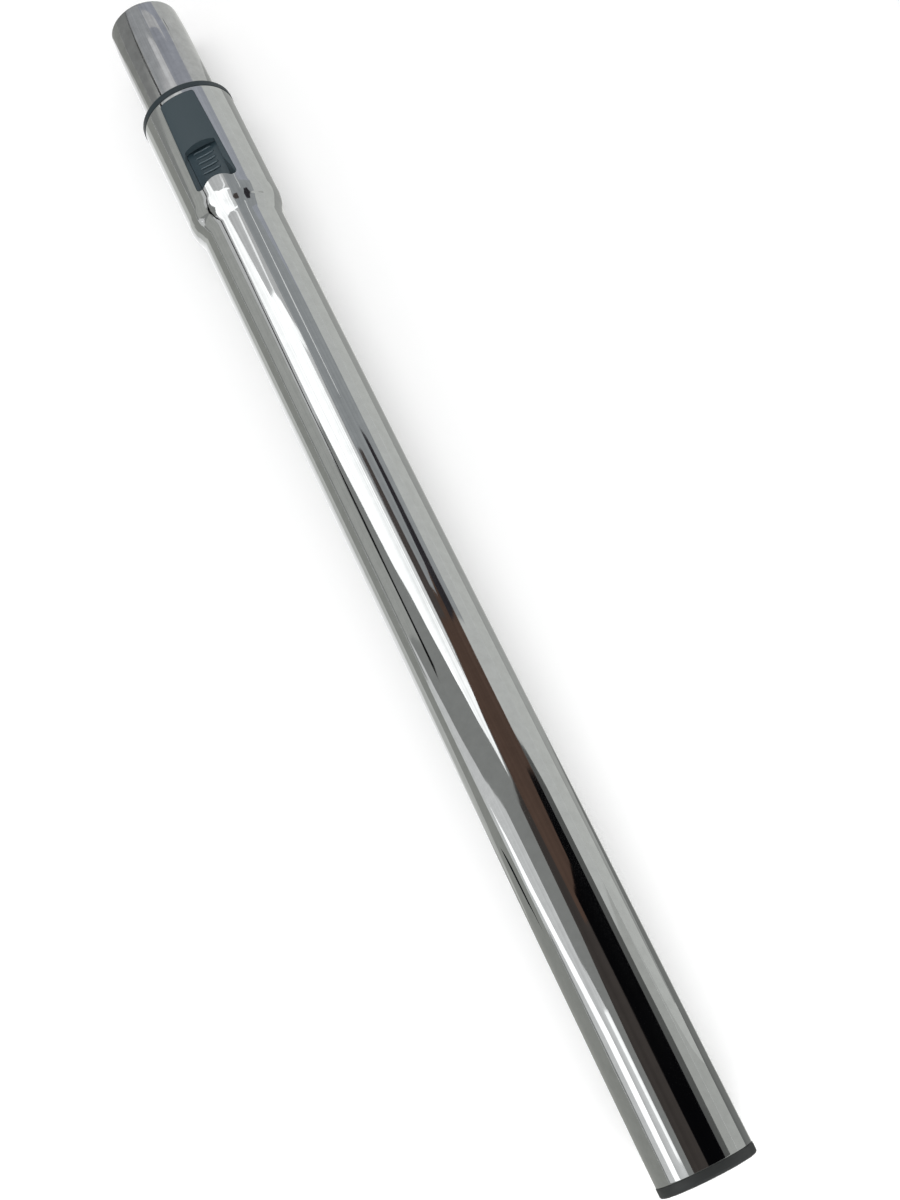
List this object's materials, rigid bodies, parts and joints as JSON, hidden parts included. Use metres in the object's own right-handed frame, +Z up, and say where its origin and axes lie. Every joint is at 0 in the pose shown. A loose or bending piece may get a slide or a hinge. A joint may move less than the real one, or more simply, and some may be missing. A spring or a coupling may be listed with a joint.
{
  "type": "telescopic vacuum wand",
  "caption": "Chromed telescopic tube for a vacuum cleaner: an outer tube with a flared bell and a thumb slider that unlocks a sliding inner tube with a push-fit tip.",
  "frame": {"origin": "middle of the wand's length and width, on the surface that the collar lies on, with the wand slid together", "axes": "+Y along the tube towards the push-fit tip, +Z up through the thumb slider, +X across the tube"},
  "size_m": [0.0446, 0.5706, 0.0446],
  "materials": {
    "outer_chrome": "bright chromium plate on drawn steel tube",
    "inner_chrome": "bright chromium plate, slightly duller",
    "sleeve_plastic": "moulded, satin",
    "plate_plastic": "moulded, fine spark texture",
    "button_plastic": "moulded, satin",
    "bolt_steel": "ground steel",
    "spring_steel": "drawn spring wire",
    "ring_plastic": "moulded, satin",
    "bush_plastic": "moulded acetal, natural",
    "seal_rubber": "moulded rubber"
  },
  "bodies": {
    "outer": {"outer_tube": "outer_chrome", "guide_sleeve": "sleeve_plastic", "window_plate": "plate_plastic", "socket_bush": "ring_plastic", "button_spring": "spring_steel"},
    "inner": {"inner_tube": "inner_chrome", "inner_end_bush": "bush_plastic", "piston_seal": "seal_rubber"},
    "button": {"slide_button": "button_plastic"},
    "lock": {"locking_bolt": "bolt_steel", "cross_pin": "bolt_steel"}
  },
  "joints": [
    {"name": "tube_slide", "type": "slide", "parent": "outer", "child": "inner", "axis": [0, 1, 0], "range_m": [0, 0.36]},
    {"name": "button_slide", "type": "slide", "parent": "outer", "child": "button", "axis": [0, 1, 0], "range_m": [0, 0.004], "stiffness_N_per_m": 400, "springref_m": -0.004, "deforming": ["button_spring"]},
    {"name": "lock_lift", "type": "slide", "parent": "outer", "child": "lock", "axis": [0, 0, 1], "range_m": [0, 0.001]}
  ],
  "couplings": [
    {"joint": "lock_lift", "follows": "button_slide", "ratio": 0.25}
  ]
}
